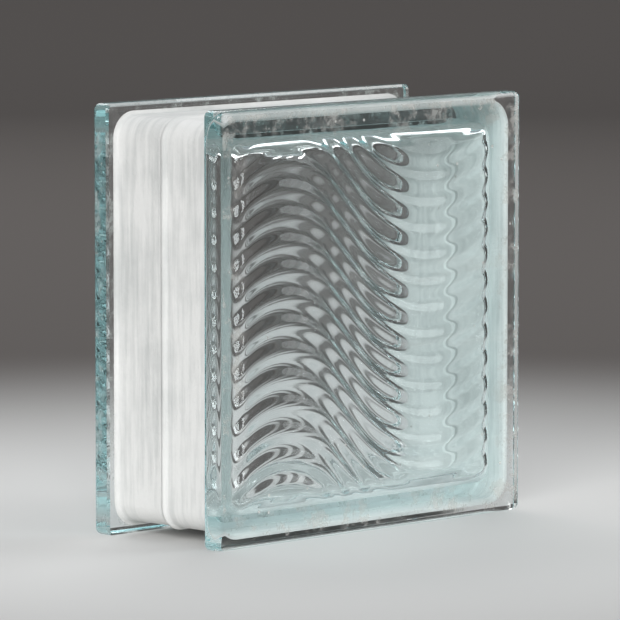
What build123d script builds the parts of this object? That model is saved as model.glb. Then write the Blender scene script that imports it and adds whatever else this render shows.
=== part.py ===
from build123d import *
import os
from math import ceil, radians, tan

# A hollow glass block for walls and partitions: two pressed glass halves, fused at a seam
# half way through its depth into one sealed piece. All lengths are in millimetres.
#
# The block is worked out lying down, with its depth along Z, the seam at z = 0 and its
# height along Y. It is then stood on edge: width along X, depth along Y, height along Z.

# Outside
face_side = 190.0  # width and height of each square face
block_depth = 80.0  # over both faces
rim_edge_radius = 3.0  # of a face's corners, seen square on, and of its edges
rim_depth = 10.0  # how far each rim reaches back from its face
rim_back_bevel = 1.0  # of the rim's other edge, beside the mortar channel

# Mortar channel round the four sides, between the two rims
channel_depth = 5.6  # from the rim's side down to the channel's floor
channel_corner_radius = 10.0  # corners of the channel's floor
channel_foot_bevel = 2.0  # between the channel's floor and the rim

# Seam where the halves are fused: glass squeezed out as a low bead, outside and inside
outer_bead_height = 1.2
inner_bead_height = 0.8
bead_slope = 30.0  # degrees between a bead's flank and the wall that it runs along
bead_root = 0.5  # how far a bead's flank carries on into that wall

# Hollow
face_thickness = 8.0  # glass between the face and the flat of its inner side
wall_thickness = 6.5  # glass of the four sides, at the seam
plunger_draft = 3.0  # degrees that the hollow narrows towards each face
hollow_edge_radius = 8.0  # round the hollow's end, and of its upright corners where they reach it

# Ripples pressed into the inner side of each face: ridges side by side that all follow one
# wave, over a crest and through a trough, on their way across the block
ripple_pitch = 12.0  # from one ridge to the next, up the face
ripple_back_width = 3.2  # of the flat along a ridge's back, up the face
ripple_height = 0.9  # how far a ridge stands into the hollow
ripple_root = 1.0  # how far the ridges' sheet is sunk into the glass behind it
wave_length = 190.0  # from crest to crest along a ridge
wave_slope = 45.0  # degrees of its steepest stretch
wave_crest_radius = 42.0
wave_trough_radius = 66.0
wave_crest_place = 52.5  # a crest's distance from the face's middle, to the left

# Worked out from these
half_depth = block_depth / 2
rim_back = half_depth - rim_depth
seam_side = face_side - 2 * channel_depth
mouth_side = seam_side - 2 * wall_thickness
hollow_depth = half_depth - face_thickness
mouth_corner_radius = hollow_edge_radius + hollow_depth * tan(radians(plunger_draft))
half_wave = wave_length / 2
wave_rise = half_wave / 2 * tan(radians(wave_slope))


def square_plate(side, corner_radius, bottom, height, narrowing=0.0):
    """A plate with rounded corners, whose sides may lean in by some degrees as it rises."""
    base = Plane.XY.offset(bottom)
    plate = extrude(base * RectangleRounded(side, side, corner_radius), amount=height)
    if narrowing == 0:
        return plate
    sides = plate.faces() - plate.faces().filter_by(Axis.Z)
    return draft(sides, base, narrowing)


def level_face(shape, height):
    """The shape's level face at one height."""
    level_faces = shape.faces().filter_by(Axis.Z)
    return level_faces.filter_by_position(Axis.Z, height - 0.001, height + 0.001)[0]


def outer_half():
    """The outside of one half: the rim behind its face, and the channel's floor."""
    rim = square_plate(face_side, rim_edge_radius, rim_back, rim_depth)
    rim = fillet(level_face(rim, half_depth).edges(), rim_edge_radius)
    rim = chamfer(level_face(rim, rim_back).edges(), rim_back_bevel)
    half = rim + square_plate(seam_side, channel_corner_radius, 0, rim_back)
    channel_foot = level_face(half, rim_back).inner_wires()[0].edges()
    return chamfer(channel_foot, channel_foot_bevel)


def outer_bead():
    """Half of the bead round the channel's floor, highest at the seam."""
    side = seam_side + 2 * outer_bead_height
    corner_radius = channel_corner_radius + outer_bead_height
    reach = (outer_bead_height + bead_root) / tan(radians(bead_slope))
    return square_plate(side, corner_radius, 0, reach, bead_slope)


def inner_bead():
    """Half of the bead round the sides of the hollow, highest at the seam."""
    side = mouth_side - 2 * inner_bead_height
    corner_radius = mouth_corner_radius - inner_bead_height
    reach = (inner_bead_height + bead_root) / tan(radians(bead_slope))
    collar = square_plate(mouth_side + wall_thickness, mouth_corner_radius, 0, reach)
    return collar - square_plate(side, corner_radius, 0, reach, -bead_slope)


def hollow_half():
    """The hollow of one half, which narrows from the seam to the inner side of the face."""
    hollow = square_plate(mouth_side, mouth_corner_radius, 0, hollow_depth, plunger_draft)
    return fillet(level_face(hollow, hollow_depth).edges(), hollow_edge_radius)


def wave_line():
    """The wave that the ridges follow, level with the face's middle on average."""
    bends_each_way = ceil((mouth_side / 2 + wave_crest_place) / half_wave)
    corners = []
    radii = []
    for number in range(-bends_each_way, bends_each_way + 1):
        at_crest = number % 2 == 0
        height = wave_rise if at_crest else -wave_rise
        corners.append((number * half_wave - wave_crest_place, height))
        radii.append(wave_crest_radius if at_crest else wave_trough_radius)
    return FilletPolyline(*corners, radius=radii[1:-1])


def ripple_sheet():
    """The ridges of one face side by side, their backs down, as wide as the hollow or more.

    One upright section of the whole sheet is carried along the wave without turning it, so
    that every ridge is the same wave again, one pitch further up.
    """
    line = wave_line()
    ridges_each_way = ceil((mouth_side / 2 + wave_rise) / ripple_pitch)
    outline = []
    for number in range(-ridges_each_way, ridges_each_way + 1):
        middle = number * ripple_pitch
        outline.append((middle - ripple_pitch / 2, 0))
        outline.append((middle - ripple_back_width / 2, -ripple_height))
        outline.append((middle + ripple_back_width / 2, -ripple_height))
    sheet_edge = (ridges_each_way + 0.5) * ripple_pitch
    outline += [(sheet_edge, 0), (sheet_edge, ripple_root), (-sheet_edge, ripple_root)]
    upright = Plane(line @ 0, x_dir=(0, 1, 0), z_dir=(1, 0, 0))
    section = upright * make_face(Polyline(*outline, close=True))
    return sweep(section, path=line, normal=(1, 0, 0))


def pressed_half():
    """One pressed half, open at the seam."""
    glass = outer_half() + outer_bead()
    glass -= hollow_half() - Pos(0, 0, hollow_depth) * ripple_sheet()
    return glass + inner_bead()


# Both halves come out of one mould. The back one is the front one turned about the block's
# upright axis, so its ripples cross the front's when the block is looked through.
front_half = pressed_half()
back_half = Rot(0, 180, 0) * front_half
glass_block = Pos(0, 0, face_side / 2) * Rot(90, 0, 0) * (front_half + back_half)

os.makedirs("parts", exist_ok=True)
export_step(glass_block, "parts/glass_block.step")
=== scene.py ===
# %% [markdown]
# # A hollow glass block, dressed for the studio
# Two shallow glass dishes are pressed in the same mould and fused mouth to mouth. That leaves a
# sealed hollow, and the inner side of each face keeps the ripples of the plunger that pressed it.
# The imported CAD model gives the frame: everything here is in metres and in its place already.

# %% The frame
import math
import bmesh
import bpy
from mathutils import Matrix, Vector


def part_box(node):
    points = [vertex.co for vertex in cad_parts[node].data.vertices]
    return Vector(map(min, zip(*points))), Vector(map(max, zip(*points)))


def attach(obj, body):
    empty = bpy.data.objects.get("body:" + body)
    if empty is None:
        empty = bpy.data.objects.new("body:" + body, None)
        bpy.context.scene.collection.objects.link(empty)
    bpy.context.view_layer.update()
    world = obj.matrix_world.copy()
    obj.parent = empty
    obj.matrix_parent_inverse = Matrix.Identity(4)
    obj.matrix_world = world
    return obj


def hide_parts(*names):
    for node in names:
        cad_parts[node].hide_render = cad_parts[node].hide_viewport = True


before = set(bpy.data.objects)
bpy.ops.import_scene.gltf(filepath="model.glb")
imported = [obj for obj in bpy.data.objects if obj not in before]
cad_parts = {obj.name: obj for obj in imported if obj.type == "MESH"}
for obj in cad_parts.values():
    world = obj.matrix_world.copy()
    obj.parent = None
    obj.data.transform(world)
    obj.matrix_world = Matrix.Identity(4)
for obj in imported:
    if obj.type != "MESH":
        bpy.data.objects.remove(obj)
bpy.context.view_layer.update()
low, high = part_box("glass_block")
half_width = (high.x - low.x) / 2
half_depth = (high.y - low.y) / 2
middle = (low + high) / 2
print("block", [round(1000 * (b - a), 1) for a, b in zip(low, high)], "mm")

# %% [markdown]
# ## Sizes
# The glass is thick: 8 mm at the faces and 6.5 mm round the sides. The ripples are shallow, under
# a millimetre high, but light turns a little at every slope of the glass, and that is what the
# eye sees. Their sizes are named values, because the same ones drive both faces.

# %% Sizes in metres
face_thickness = 0.008
channel_depth = 0.0056
wall_thickness = 0.0065
plunger_draft = math.radians(3)
hollow_half_width = half_width - channel_depth - wall_thickness
hollow_half_depth = half_depth - face_thickness
hollow_edge_radius = 0.008
ripple_sizes = {
    "Pitch": 0.012,
    "Height": 0.0009,
    "Flank Straightness": 0.93,
    "Wave Length": 0.190,
    "Wave Slope": math.radians(45),
    "Crest Radius": 0.042,
    "Trough Radius": 0.066,
    "Crest Place": -0.0525,
}
hollow_size = [round(2000 * half, 1) for half in (hollow_half_width, hollow_half_depth)]
print("hollow", hollow_size[0], "mm square and", hollow_size[1], "mm deep")

# %% [markdown]
# ## A short way to write nodes
# Geometry Nodes work a surface out by a rule, point by point, which suits glass that was pressed
# by one tool, and a shader's nodes do the same for its colour. Each sum is a node. This small
# writer makes a node, fills its inputs with numbers or with the results of other nodes, and hands
# back its result, so the rules below read like algebra.


# %% A writer for node trees
class Sums:
    """Writes nodes into one tree, and hands back their results."""

    def __init__(self, tree):
        self.tree = tree

    def fill(self, socket, value):
        """Gives an input a number or a colour, or links another node's result to it."""
        if isinstance(value, bpy.types.NodeSocket):
            self.tree.links.new(value, socket)
        else:
            socket.default_value = value

    def node(self, kind, settings=None, **inputs):
        """A new node. The name of an input is written with _ for each space."""
        made = self.tree.nodes.new(kind)
        for name, value in (settings or {}).items():
            setattr(made, name, value)
        for name, value in inputs.items():
            self.fill(made.inputs[name.replace("_", " ")], value)
        return made

    def operate(self, kind, operation, values):
        """The outputs of a maths node, whose inputs are filled from the first one on."""
        made = self.node(kind, {"operation": operation})
        for socket, value in zip(made.inputs, values):
            self.fill(socket, value)
        return made.outputs

    def math(self, operation, *values):
        return self.operate("ShaderNodeMath", operation, values)["Value"]

    def vector(self, operation, *values):
        return self.operate("ShaderNodeVectorMath", operation, values)["Vector"]

    def length(self, vector):
        return self.operate("ShaderNodeVectorMath", "LENGTH", [vector])["Value"]

    def plus(self, one, other):
        return self.math("ADD", one, other)

    def minus(self, one, other):
        return self.math("SUBTRACT", one, other)

    def times(self, one, other):
        return self.math("MULTIPLY", one, other)

    def over(self, one, other):
        return self.math("DIVIDE", one, other)

    def split(self, vector):
        return self.node("ShaderNodeSeparateXYZ", Vector=vector).outputs

    def join(self, x, y, z):
        return self.node("ShaderNodeCombineXYZ", X=x, Y=y, Z=z).outputs["Vector"]

    def stretch(self, vector, amount):
        """The vector times a number."""
        return self.vector("MULTIPLY", vector, self.join(amount, amount, amount))

    def fade(self, value, start, end):
        """0 below start, 1 above end, and a smooth step between them."""
        settings = {"interpolation_type": "SMOOTHSTEP"}
        made = self.node("ShaderNodeMapRange", settings, Value=value, From_Min=start, From_Max=end)
        return made.outputs["Result"]

    def fade_out(self, value, start, end):
        """1 below start, 0 above end, and a smooth step between them."""
        return self.minus(1.0, self.fade(value, start, end))

    def noise(self, place, scale, detail, roughness=0.5):
        """A cloudy pattern with about as many clouds to the metre as scale says."""
        made = self.node("ShaderNodeTexNoise", Vector=place, Scale=scale, Detail=detail,
                         Roughness=roughness)
        return made.outputs[0]

    def blend(self, share, one, other):
        """A colour between one and other, which are a Mix node's inputs 6 and 7."""
        made = self.node("ShaderNodeMix", {"data_type": "RGBA"}, Factor=share)
        made.inputs[6].default_value = one
        made.inputs[7].default_value = other
        return made.outputs[2]


# %% [markdown]
# ## From a tree to a mesh
# A tree starts with one input for each named size. It runs as a modifier on an empty object, and
# new_from_object turns what it made into a plain mesh, which needs neither the tree nor the object
# any more. The pieces that no rule makes are built point by point instead.


# %% Trees, meshes and objects
def new_tree(name, sizes):
    """A node tree with one number input for each named size, and a material input."""
    tree = bpy.data.node_groups.new(name, "GeometryNodeTree")
    for label, value in sizes.items():
        kind = "NodeSocketInt" if isinstance(value, int) else "NodeSocketFloat"
        tree.interface.new_socket(label, in_out="INPUT", socket_type=kind)
    tree.interface.new_socket("Material", in_out="INPUT", socket_type="NodeSocketMaterial")
    tree.interface.new_socket("Geometry", in_out="OUTPUT", socket_type="NodeSocketGeometry")
    return tree


def new_object(name, data):
    """An object in the scene that shows this mesh, lamp or camera."""
    made = bpy.data.objects.new(name, data)
    bpy.context.scene.collection.objects.link(made)
    return made


def grow(name, tree, sizes, material):
    """The mesh that a tree makes with these sizes."""
    seed = new_object(name, bpy.data.meshes.new(name))
    modifier = seed.modifiers.new(name, "NODES")
    modifier.node_group = tree
    for item in tree.interface.items_tree:
        if item.in_out == "INPUT":
            modifier[item.identifier] = sizes.get(item.name, material)
    graph = bpy.context.evaluated_depsgraph_get()
    mesh = bpy.data.meshes.new_from_object(seed.evaluated_get(graph), depsgraph=graph)
    bpy.data.objects.remove(seed)
    print(name, len(mesh.vertices), "points,", len(mesh.polygons), "faces")
    return mesh


def mesh_from(bm, name):
    """The mesh of a bmesh that is ready."""
    mesh = bpy.data.meshes.new(name)
    bm.to_mesh(mesh)
    bm.free()
    print(name, len(mesh.vertices), "points,", len(mesh.polygons), "faces")
    return mesh


# %% [markdown]
# ## Dried mortar
# A block that has been laid keeps traces of mortar on its faces: a smear along the edges, where
# the cloth didn't reach, a few specks, and faint streaks where it was wiped. Each is a noise of
# its own kind, kept to its own strip by the distance from the face's edge.


# %% Mortar on the faces
def mortar_haze(sums, place):
    """How much dried mortar is left: 0 on clean glass and off the faces, and 1 where solid."""
    smear_share, film_share, speck_share = 0.42, 0.12, 0.7
    face_tolerance = 0.0001
    x, y, z = sums.split(place)
    on_face = sums.math("GREATER_THAN", sums.math("ABSOLUTE", y), half_depth - face_tolerance)
    across = sums.math("ABSOLUTE", x)
    upward = sums.math("ABSOLUTE", sums.minus(z, half_width))
    from_edge = sums.minus(half_width, sums.math("MAXIMUM", across, upward))

    grain = sums.noise(place, 110.0, 9.0, 0.72)
    smear = sums.times(sums.fade(grain, 0.49, 0.62), sums.fade_out(from_edge, 0.003, 0.022))

    # About one cell in five of a cell pattern holds a speck, in its middle.
    cells = sums.node("ShaderNodeTexVoronoi", Vector=place, Scale=170.0).outputs
    chosen = sums.fade(sums.split(cells["Color"])[0], 0.78, 0.82)
    dots = sums.fade_out(cells["Distance"], 0.06, 0.16)
    specks = sums.times(sums.times(dots, chosen), sums.fade_out(from_edge, 0.01, 0.07))

    wiped = sums.node("ShaderNodeMapping", Vector=place, Rotation=(0.0, 0.6, 0.0),
                      Scale=(12.0, 12.0, 90.0))
    film = sums.fade(sums.noise(wiped.outputs["Vector"], 1.0, 5.0, 0.6), 0.52, 0.80)

    amount = sums.plus(sums.times(smear, smear_share), sums.times(film, film_share))
    amount = sums.math("MAXIMUM", amount, sums.times(specks, speck_share))
    return sums.times(amount, on_face)


# %% [markdown]
# ## The glass
# Clear soda-lime glass has a little iron in it, which takes some red out of the light on its way
# through. Volume Absorption does that by distance, so thick glass and glass seen along its length
# come out greener, as they do on the real block. The pressed surface isn't optically flat, so a
# faint bump gives it the slow waviness of the mould. Where mortar has dried on a face, the glass
# lets less light through and turns paler and rougher.

# %% Clear glass
glass_tint = (0.66, 0.90, 0.92, 1)
glass_density = 11.0
clean_colour = (1, 1, 1, 1)
mortar_colour = (0.80, 0.79, 0.76, 1)
mortar_roughness = 0.6


def new_material(name):
    """A material, a writer for its nodes, and its main shader."""
    material = bpy.data.materials.new(name)
    material.use_nodes = True
    return material, Sums(material.node_tree), material.node_tree.nodes["Principled BSDF"]


def clear_glass():
    material, sums, surface = new_material("clear_glass")
    place = sums.node("ShaderNodeTexCoord").outputs["Object"]
    haze = mortar_haze(sums, place)
    colour = sums.blend(sums.fade(haze, 0.0, 0.2), clean_colour, mortar_colour)
    waviness = sums.noise(place, 30.0, 1.0)
    bump = sums.node("ShaderNodeBump", Strength=0.06, Distance=0.001, Height=waviness)
    surface.inputs["IOR"].default_value = 1.52
    sums.fill(surface.inputs["Transmission Weight"], sums.minus(1.0, haze))
    sums.fill(surface.inputs["Base Color"], colour)
    sums.fill(surface.inputs["Roughness"], sums.times(haze, mortar_roughness))
    sums.fill(surface.inputs["Normal"], bump.outputs["Normal"])

    # Lamps and soft light pass straight through, so that they reach the walls behind the glass.
    path = sums.node("ShaderNodeLightPath").outputs
    passing = sums.math("MAXIMUM", path["Is Shadow Ray"], path["Is Diffuse Ray"])
    clear = sums.node("ShaderNodeBsdfTransparent", Color=(0.94, 0.95, 0.95, 1))
    both = sums.node("ShaderNodeMixShader", Fac=passing)
    sums.fill(both.inputs[1], surface.outputs["BSDF"])
    sums.fill(both.inputs[2], clear.outputs["BSDF"])
    tint = sums.node("ShaderNodeVolumeAbsorption", Color=glass_tint, Density=glass_density)
    output = material.node_tree.nodes["Material Output"].inputs
    sums.fill(output["Surface"], both.outputs["Shader"])
    sums.fill(output["Volume"], tint.outputs["Volume"])
    return material


glass = clear_glass()
red_left = math.exp(-glass_density * (1 - glass_tint[0]) * 0.1)
print("share of red left after 100 mm of glass", round(red_left, 2))

# %% [markdown]
# ## The coating of the sides
# Mortar doesn't stick to bare glass, so the channel round the block is brushed with a pale
# coating. Its inner side shows through the faces, which is why a block's own walls look milky. A
# brush leaves it uneven: a stretched noise gives the strokes, a wide one the patches and a very
# fine one the grit.


# %% Edge coating
def edge_coating():
    material, sums, surface = new_material("edge_coating")
    place = sums.node("ShaderNodeTexCoord").outputs["Object"]
    brushed = sums.node("ShaderNodeMapping", Vector=place, Scale=(30.0, 400.0, 30.0))
    strokes = sums.noise(brushed.outputs["Vector"], 1.0, 4.0)
    patches = sums.noise(place, 26.0, 5.0, 0.6)
    both = sums.plus(sums.times(strokes, 0.45), sums.times(patches, 0.55))
    grit = sums.noise(place, 900.0, 2.0)
    relief = sums.plus(both, sums.times(grit, 0.35))
    bump = sums.node("ShaderNodeBump", Strength=0.8, Distance=0.0006, Height=relief)

    colours = sums.node("ShaderNodeValToRGB", Fac=both)
    thin, thick = colours.color_ramp.elements
    thin.position, thin.color = 0.36, (0.59, 0.605, 0.595, 1)
    thick.position, thick.color = 0.56, (0.79, 0.795, 0.78, 1)
    surface.inputs["Roughness"].default_value = 0.75
    sums.fill(surface.inputs["Base Color"], colours.outputs["Color"])
    sums.fill(surface.inputs["Normal"], bump.outputs["Normal"])
    return material


coating = edge_coating()
print("materials", glass.name, "and", coating.name)

# %% [markdown]
# ## The wave of the ripples
# The ripples' ridges all follow the same wave across the face: an arc over the crest, a slanting
# run and an arc through the trough. One height for each place across the face says it all. The
# sum adds up how far the wave has fallen since its crest.


# %% The rule of the wave
def wave_height(sums, sizes, x):
    """The height of the wave at x, which is level with the face's middle on average."""
    slope, crest, trough = sizes["Wave Slope"], sizes["Crest Radius"], sizes["Trough Radius"]
    sine, cosine, tangent = [sums.math(way, slope) for way in ("SINE", "COSINE", "TANGENT")]
    half = sums.times(sizes["Wave Length"], 0.5)
    from_place = sums.minus(x, sizes["Crest Place"])
    from_crest = sums.math("ABSOLUTE", sums.math("WRAP", from_place, half, sums.times(half, -1.0)))
    from_trough = sums.minus(half, from_crest)

    def fall(distance, radius):
        """How far an arc has fallen at a distance from its middle, up to the arc's end."""
        reach = sums.math("MINIMUM", distance, sums.times(radius, sine))
        rest = sums.minus(sums.math("POWER", radius, 2.0), sums.math("POWER", reach, 2.0))
        return sums.minus(radius, sums.math("SQRT", rest))

    run_start = sums.times(crest, sine)
    run_end = sums.minus(half, sums.times(trough, sine))
    along = sums.math("MINIMUM", sums.math("MAXIMUM", from_crest, run_start), run_end)
    run = sums.times(sums.minus(along, run_start), tangent)
    whole_trough = sums.times(trough, sums.minus(1.0, cosine))
    in_trough = sums.minus(whole_trough, fall(from_trough, trough))
    fallen = sums.plus(sums.plus(fall(from_crest, crest), run), in_trough)

    # The two slopes beside a crest would meet in a corner. The arc's top lies a little below it.
    corner = sums.times(sums.times(half, 0.5), tangent)
    below = sums.times(crest, sums.minus(sums.over(1.0, cosine), 1.0))
    return sums.minus(sums.minus(corner, below), fallen)


# %% [markdown]
# ## The hollow
# The hollow is a box with rounded edges that narrows a little towards each face, so that the
# plunger came out. The rule takes the points of a fine box, pulls each one back to a smaller box
# inside it, and pushes it out again by the edge radius: flats stay flat and edges turn round. Then
# each point near a face is moved by the ripple's height there, and each point near the seam by the
# bead's. The ridges lie one pitch above the other, so one sum gives them all. The back face is the
# front one turned round, so it reads the wave from the other side.

# %% Sizes of the hollow's tree
hollow_sizes = {
    "Half Width": hollow_half_width,
    "Half Depth": hollow_half_depth,
    "Edge Radius": hollow_edge_radius,
    "Draft": plunger_draft,
    "Bead Height": 0.0008,
    "Bead Reach": 0.0022,
    "Points Across": 151,
    "Points Deep": 61,
    **ripple_sizes,
}
crowding = 1.4  # draws the rows of points towards the seam, where the bead needs them


# %% A box with rounded edges
def rounded_box(sums, given):
    """For each point of a box: its place on the rounded one, the way out there, and its half."""
    half_x, half_y, radius = given["Half Width"], given["Half Depth"], given["Edge Radius"]
    x, y, z = sums.split(sums.node("GeometryNodeInputPosition").outputs["Position"])
    half = sums.math("SIGN", y)
    share = sums.math("POWER", sums.over(sums.math("ABSOLUTE", y), half_y), crowding)
    y = sums.times(sums.times(half, share), half_y)
    point = sums.join(x, y, z)
    core_x, core_y = sums.minus(half_x, radius), sums.minus(half_y, radius)
    core = sums.join(core_x, core_y, core_x)
    opposite = sums.vector("MULTIPLY", core, (-1, -1, -1))
    inside = sums.vector("MAXIMUM", sums.vector("MINIMUM", point, core), opposite)
    outward = sums.vector("NORMALIZE", sums.vector("SUBTRACT", point, inside))
    rounded = sums.vector("ADD", inside, sums.stretch(outward, radius))
    return rounded, outward, half


# %% Ripples and bead
def glass_relief(sums, given, rounded, outward, half):
    """How far the glass stands into the hollow: ripples on the faces, and a bead at the seam."""
    x, y, z = sums.split(rounded)
    wave = wave_height(sums, given, sums.times(x, sums.times(half, -1.0)))
    turns = sums.over(sums.minus(z, wave), given["Pitch"])
    swing = sums.math("COSINE", sums.times(turns, 2 * math.pi))
    # The arcsine straightens the flanks of the plain wave and leaves its tops and bottoms round.
    straightness = given["Flank Straightness"]
    flank = sums.math("ARCSINE", sums.times(swing, straightness))
    swing = sums.over(flank, sums.math("ARCSINE", straightness))
    ridge = sums.times(sums.math("MULTIPLY_ADD", swing, 0.5, 0.5), given["Height"])
    # The ridges run out over the rounded edges, where the glass turns away from the face.
    facing = sums.math("ABSOLUTE", sums.split(outward)[1])
    ridge = sums.times(ridge, sums.fade(facing, 0.15, 0.8))
    near_seam = sums.fade_out(sums.math("ABSOLUTE", y), 0.0, given["Bead Reach"])
    return sums.plus(ridge, sums.times(near_seam, given["Bead Height"]))


# %% The hollow's skin
def hollow_tree():
    tree = new_tree("rippled_hollow", hollow_sizes)
    sums = Sums(tree)
    given = sums.node("NodeGroupInput").outputs
    half_x, half_y = given["Half Width"], given["Half Depth"]
    across, deep = given["Points Across"], given["Points Deep"]
    size = sums.vector("MULTIPLY", sums.join(half_x, half_y, half_x), (2, 2, 2))
    box = sums.node("GeometryNodeMeshCube", Size=size, Vertices_X=across, Vertices_Y=deep,
                    Vertices_Z=across)
    rounded, outward, half = rounded_box(sums, given)
    relief = sums.stretch(outward, glass_relief(sums, given, rounded, outward, half))
    shaped = sums.vector("SUBTRACT", rounded, relief)

    # The draft narrows the hollow with the distance from the seam.
    from_seam = sums.math("ABSOLUTE", sums.split(rounded)[1])
    lean = sums.times(from_seam, sums.math("TANGENT", given["Draft"]))
    narrow = sums.minus(1.0, sums.over(lean, half_x))
    shaped = sums.vector("MULTIPLY", shaped, sums.join(narrow, 1.0, narrow))
    moved = sums.node("GeometryNodeSetPosition", Geometry=box.outputs["Mesh"], Position=shaped)
    # The skin is the glass's inner side, so its faces look into the hollow.
    inward = sums.node("GeometryNodeFlipFaces", Mesh=moved.outputs[0])
    plain = sums.node("GeometryNodeRealizeInstances", Geometry=inward.outputs[0])
    done = sums.node("GeometryNodeSetMaterial", Geometry=plain.outputs[0],
                     Material=given["Material"])
    sums.node("NodeGroupOutput", Geometry=done.outputs[0])
    return tree


hollow_mesh = grow("hollow", hollow_tree(), hollow_sizes, glass)

# %% [markdown]
# ## The outside
# Looking along the block's depth, every level of its outside is a square with rounded corners:
# only its size, its corner radius and its place change, from the face over the rim into the mortar
# channel and up over the bead at the seam. So the outside is a stack of such rings, with each ring
# joined to the next.

# %% Sizes of the outside
rim_edge_radius = 0.003
rim_depth = 0.010
rim_back_bevel = 0.001
channel_corner_radius = 0.010
channel_foot_bevel = 0.002
bead_height = 0.0012
bead_reach = 0.0026
face_margin = 0.001  # from the rounding of a face's edge to the innermost ring
sharpest_corner = 0.00002
corner_steps, rim_steps, foot_steps, bead_steps = 10, 6, 4, 8


# %% The levels of one half
def rounding(step, steps, radius):
    """A quarter round at one step: (what it still has to go sideways, how deep it has come)."""
    turn = math.pi / 2 * step / steps
    return radius * (1 - math.sin(turn)), radius * (1 - math.cos(turn))


def front_levels():
    """(half side, corner radius, distance from the seam, coated) from the face to the seam.

    The first ring lies just inside the face's edge, and keeps the rounding's shading off the flat.
    """
    rim_back = half_depth - rim_depth
    floor = half_width - channel_depth
    levels = [(half_width - rim_edge_radius - face_margin, face_margin, half_depth, False)]
    for step in range(rim_steps + 1):
        inset, drop = rounding(step, rim_steps, rim_edge_radius)
        radius = max(rim_edge_radius - inset, sharpest_corner)
        levels.append((half_width - inset, radius, half_depth - drop, False))
    levels.append((half_width, rim_edge_radius, rim_back + rim_back_bevel, False))
    levels.append((half_width - rim_back_bevel, rim_edge_radius - rim_back_bevel, rim_back, False))
    foot_radius = channel_corner_radius + channel_foot_bevel
    levels.append((floor + channel_foot_bevel, foot_radius, rim_back, False))
    for step in range(1, foot_steps + 1):
        out, drop = rounding(step, foot_steps, channel_foot_bevel)
        levels.append((floor + out, channel_corner_radius + out, rim_back - drop, True))
    for step in range(bead_steps + 1):
        share = step / bead_steps
        out = bead_height * (1 - math.cos(math.pi * share)) / 2
        distance = bead_reach * (1 - share)
        levels.append((floor + out, channel_corner_radius + out, distance, True))
    return levels


# %% The outer skin
def square_ring(half_side, corner_radius):
    """Points of a square with rounded corners, in the plane of the face."""
    points = []
    centre = half_side - corner_radius
    for quarter, (sx, sz) in enumerate(((1, 1), (-1, 1), (-1, -1), (1, -1))):
        for step in range(corner_steps + 1):
            turn = math.pi / 2 * (quarter + step / corner_steps)
            x = sx * centre + corner_radius * math.cos(turn)
            z = sz * centre + corner_radius * math.sin(turn)
            points.append((x, z))
    return points


def outer_skin():
    """The whole outside: the front's levels and, past the seam, the same ones mirrored."""
    bm = bmesh.new()
    front = front_levels()
    stack = [(half, radius, -distance, coated) for half, radius, distance, coated in front]
    stack += reversed(front[:-1])
    rings = []
    for half, radius, depth, _ in stack:
        rings.append([bm.verts.new((x, depth, z)) for x, z in square_ring(half, radius)])
    bm.faces.new(rings[0])
    bm.faces.new(reversed(rings[-1]))
    count = len(rings[0])
    for first, second, one, other in zip(rings, rings[1:], stack, stack[1:]):
        coated = one[3] or other[3]
        for k in range(count):
            after = (k + 1) % count
            face = bm.faces.new((first[k], second[k], second[after], first[after]))
            face.material_index = int(coated)
    bmesh.ops.recalc_face_normals(bm, faces=bm.faces)
    return mesh_from(bm, "outer_skin")


outer_mesh = outer_skin()

# %% [markdown]
# ## One piece of glass
# The two skins are the two sides of one glass wall, so they go into one mesh: the outer one faces
# out and the inner one faces the hollow. Light then enters and leaves the glass where it should.


# %% The block
def one_block(inner, outer):
    """Both skins in one mesh, whose first material is the glass and whose second the coating."""
    bm = bmesh.new()
    bm.from_mesh(inner)
    for face in bm.faces:
        face.material_index = 0
    bm.from_mesh(outer)
    bmesh.ops.translate(bm, verts=bm.verts, vec=middle)
    for face in bm.faces:
        face.smooth = True
    mesh = mesh_from(bm, "glass_block_body")
    mesh.set_sharp_from_angle(angle=math.radians(28))
    mesh.materials.append(glass)
    mesh.materials.append(coating)
    triangles = sum(len(face.vertices) - 2 for face in mesh.polygons)
    print("block", triangles, "triangles")
    return new_object("glass_block_body", mesh)


block = one_block(hollow_mesh, outer_mesh)
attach(block, "root")
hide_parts("glass_block")

# %% [markdown]
# ## Floor and backdrop
# Glass shows what is behind it, so its surroundings are part of its look. The floor's paint is
# pale round the block, a painted pool of light, and darkens evenly away from it into painted
# shade, up into a dark wall all round. The ripples draw the pale and the dark as lines, from
# whichever side the block is seen.


# %% A round studio
def studio():
    """A floor that turns up into a wall all round, as one bowl."""
    floor_radius, bend, wall_top = 2.6, 0.5, 3.2
    steps_up, steps_round = 8, 96
    outline = [(floor_radius, 0.0)]
    for step in range(1, steps_up + 1):
        turn = math.pi / 2 * step / steps_up
        outline.append((floor_radius + bend * math.sin(turn), bend * (1 - math.cos(turn))))
    outline.append((floor_radius + bend, wall_top))

    bm = bmesh.new()
    centre = bm.verts.new((0, 0, 0))
    turns = [2 * math.pi * k / steps_round for k in range(steps_round)]
    rings = []
    for radius, height in outline:
        ring = [(radius * math.cos(turn), radius * math.sin(turn), height) for turn in turns]
        rings.append([bm.verts.new(point) for point in ring])
    for k in range(steps_round):
        after = (k + 1) % steps_round
        bm.faces.new((centre, rings[0][k], rings[0][after]))
        for lower, upper in zip(rings, rings[1:]):
            bm.faces.new((lower[k], upper[k], upper[after], lower[after]))
    for face in bm.faces:
        face.smooth = True
    return new_object("studio", mesh_from(bm, "studio"))


# %% Paint of the studio: a painted pool of light that fades to painted shade
# The pale tone is a painted pool of light round the block, and the dark one is painted shade
# further off.
painted_light_pool_tone = (0.72, 0.72, 0.71, 1)
painted_shade_tone = (0.13, 0.12, 0.115, 1)


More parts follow.
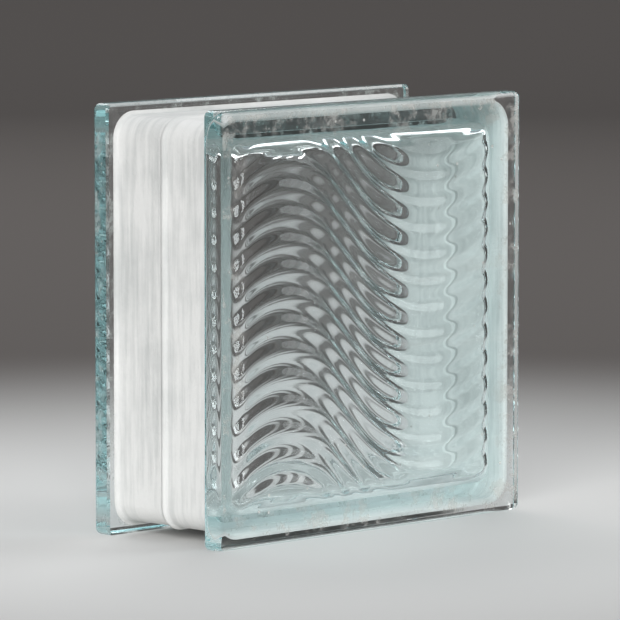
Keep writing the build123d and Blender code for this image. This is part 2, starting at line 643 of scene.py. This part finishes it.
def studio_painted_light_pool():
    material, sums, surface = new_material("studio_painted_light_pool")
    place = sums.node("ShaderNodeTexCoord").outputs["Object"]
    # The paint is pale near the block, a painted pool of light, and darkens with the distance into
    # painted shade.
    far = sums.fade(sums.length(place), 0.14, 0.70)
    sums.fill(surface.inputs["Base Color"], sums.blend(far, painted_light_pool_tone, painted_shade_tone))
    surface.inputs["Roughness"].default_value = 0.9
    surface.inputs["Specular IOR Level"].default_value = 0.0
    return material


stage = studio()
stage.data.materials.append(studio_painted_light_pool())

# %% [markdown]
# ## Light
# Three large soft lamps stand round the block: the key to the left of the camera, one behind and
# above, and a weak one to the right. An even pale sky fills in. The camera doesn't see the lamps
# themselves, but the glass still mirrors them. Light takes many turns through two faces of
# glass, so it is followed for more bounces than Blender's own number.


# %% Lamps
def soft_lamp(name, place, size, power):
    """A large lamp that points at the middle of the block."""
    data = bpy.data.lights.new(name, "AREA")
    data.shape = "RECTANGLE"
    data.size, data.size_y = size
    data.energy = power
    lamp = new_object(name, data)
    lamp.location = place
    lamp.rotation_euler = (middle - Vector(place)).to_track_quat("-Z", "Y").to_euler()
    lamp.visible_camera = False


soft_lamp("key", place=(-2.25, -1.55, 1.05), size=(2.0, 1.4), power=80)
soft_lamp("back", place=(0.9, 1.8, 1.9), size=(2.0, 1.6), power=33)
soft_lamp("side", place=(1.9, -0.9, 1.5), size=(1.6, 1.6), power=18)

# %% Sky and bounces
world = bpy.data.worlds.new("sky")
bpy.context.scene.world = world
world.use_nodes = True
sky = world.node_tree.nodes["Background"].inputs
sky["Color"].default_value = (0.80, 0.85, 0.90, 1)
sky["Strength"].default_value = 0.45
bpy.context.scene.view_settings.view_transform = "Standard"
cycles = bpy.context.scene.cycles
cycles.max_bounces = 16
cycles.transmission_bounces = 16
cycles.glossy_bounces = 12
cycles.transparent_max_bounces = 24

# %% [markdown]
# ## Camera
# The photograph shows the block from 45 degrees to the left of square on, from a little above and
# from two and a half metres away. A long lens at the same place keeps its perspective.

# %% The photograph's view
camera_distance = 2.53
camera_azimuth = math.radians(-45)
camera_elevation = math.radians(6)
level = math.cos(camera_elevation)
away = Vector((math.sin(camera_azimuth) * level, -math.cos(camera_azimuth) * level,
               math.sin(camera_elevation)))
camera_data = bpy.data.cameras.new("camera")
camera_data.lens = 330
camera = new_object("camera", camera_data)
camera.location = middle + away * camera_distance
camera.rotation_euler = (-away).to_track_quat("-Z", "Y").to_euler()
bpy.context.scene.camera = camera
print("camera at", [round(c, 2) for c in camera.location], "m, lens", camera_data.lens, "mm")
